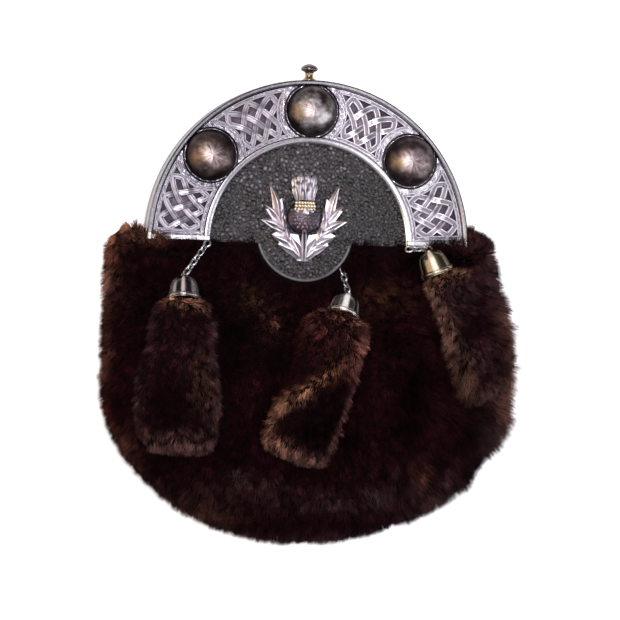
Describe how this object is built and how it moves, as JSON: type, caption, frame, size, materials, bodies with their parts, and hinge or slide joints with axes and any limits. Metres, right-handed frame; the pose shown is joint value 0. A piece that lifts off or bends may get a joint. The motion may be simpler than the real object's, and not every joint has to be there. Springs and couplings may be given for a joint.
{
  "type": "sporran pouch",
  "caption": "Full-dress sporran pouch in dark brown fur, with a silver interlaced half-ring cantle, polished domes, a thistle badge and fur tassels on chains, lying on its back.",
  "frame": {"origin": "middle of the back panel's flat rest face, on the surface that the pouch lies on", "axes": "+Z out of the pouch's front, +Y from the fur towards the cantle's knob, +X to the right as seen from the front"},
  "size_m": [0.2076, 0.2416, 0.062],
  "materials": {
    "silver": "bright silver plate, darkened in the recesses",
    "dome_metal": "dark polished nickel",
    "knob_metal": "aged polished brass",
    "black_leather": "black pebbled leather, soft gloss",
    "brown_fur": "deep, very dark brown fur with lighter brown tips"
  },
  "bodies": {
    "root": {"cantle": "silver", "dome_left": "dome_metal", "dome_top": "dome_metal", "dome_right": "dome_metal", "top_knob": "knob_metal", "front_leather": "black_leather", "thistle_badge": "silver", "pouch_fur": "brown_fur", "back_leather": "black_leather", "strap_loop_left": "black_leather", "strap_loop_right": "black_leather", "tassel_fur_left": "brown_fur", "tassel_fur_middle": "brown_fur", "tassel_fur_right": "brown_fur", "tassel_cap_left": "silver", "tassel_cap_middle": "silver", "tassel_cap_right": "silver", "chain_left": "silver", "chain_middle": "silver", "chain_right": "silver"}
  },
  "joints": []
}
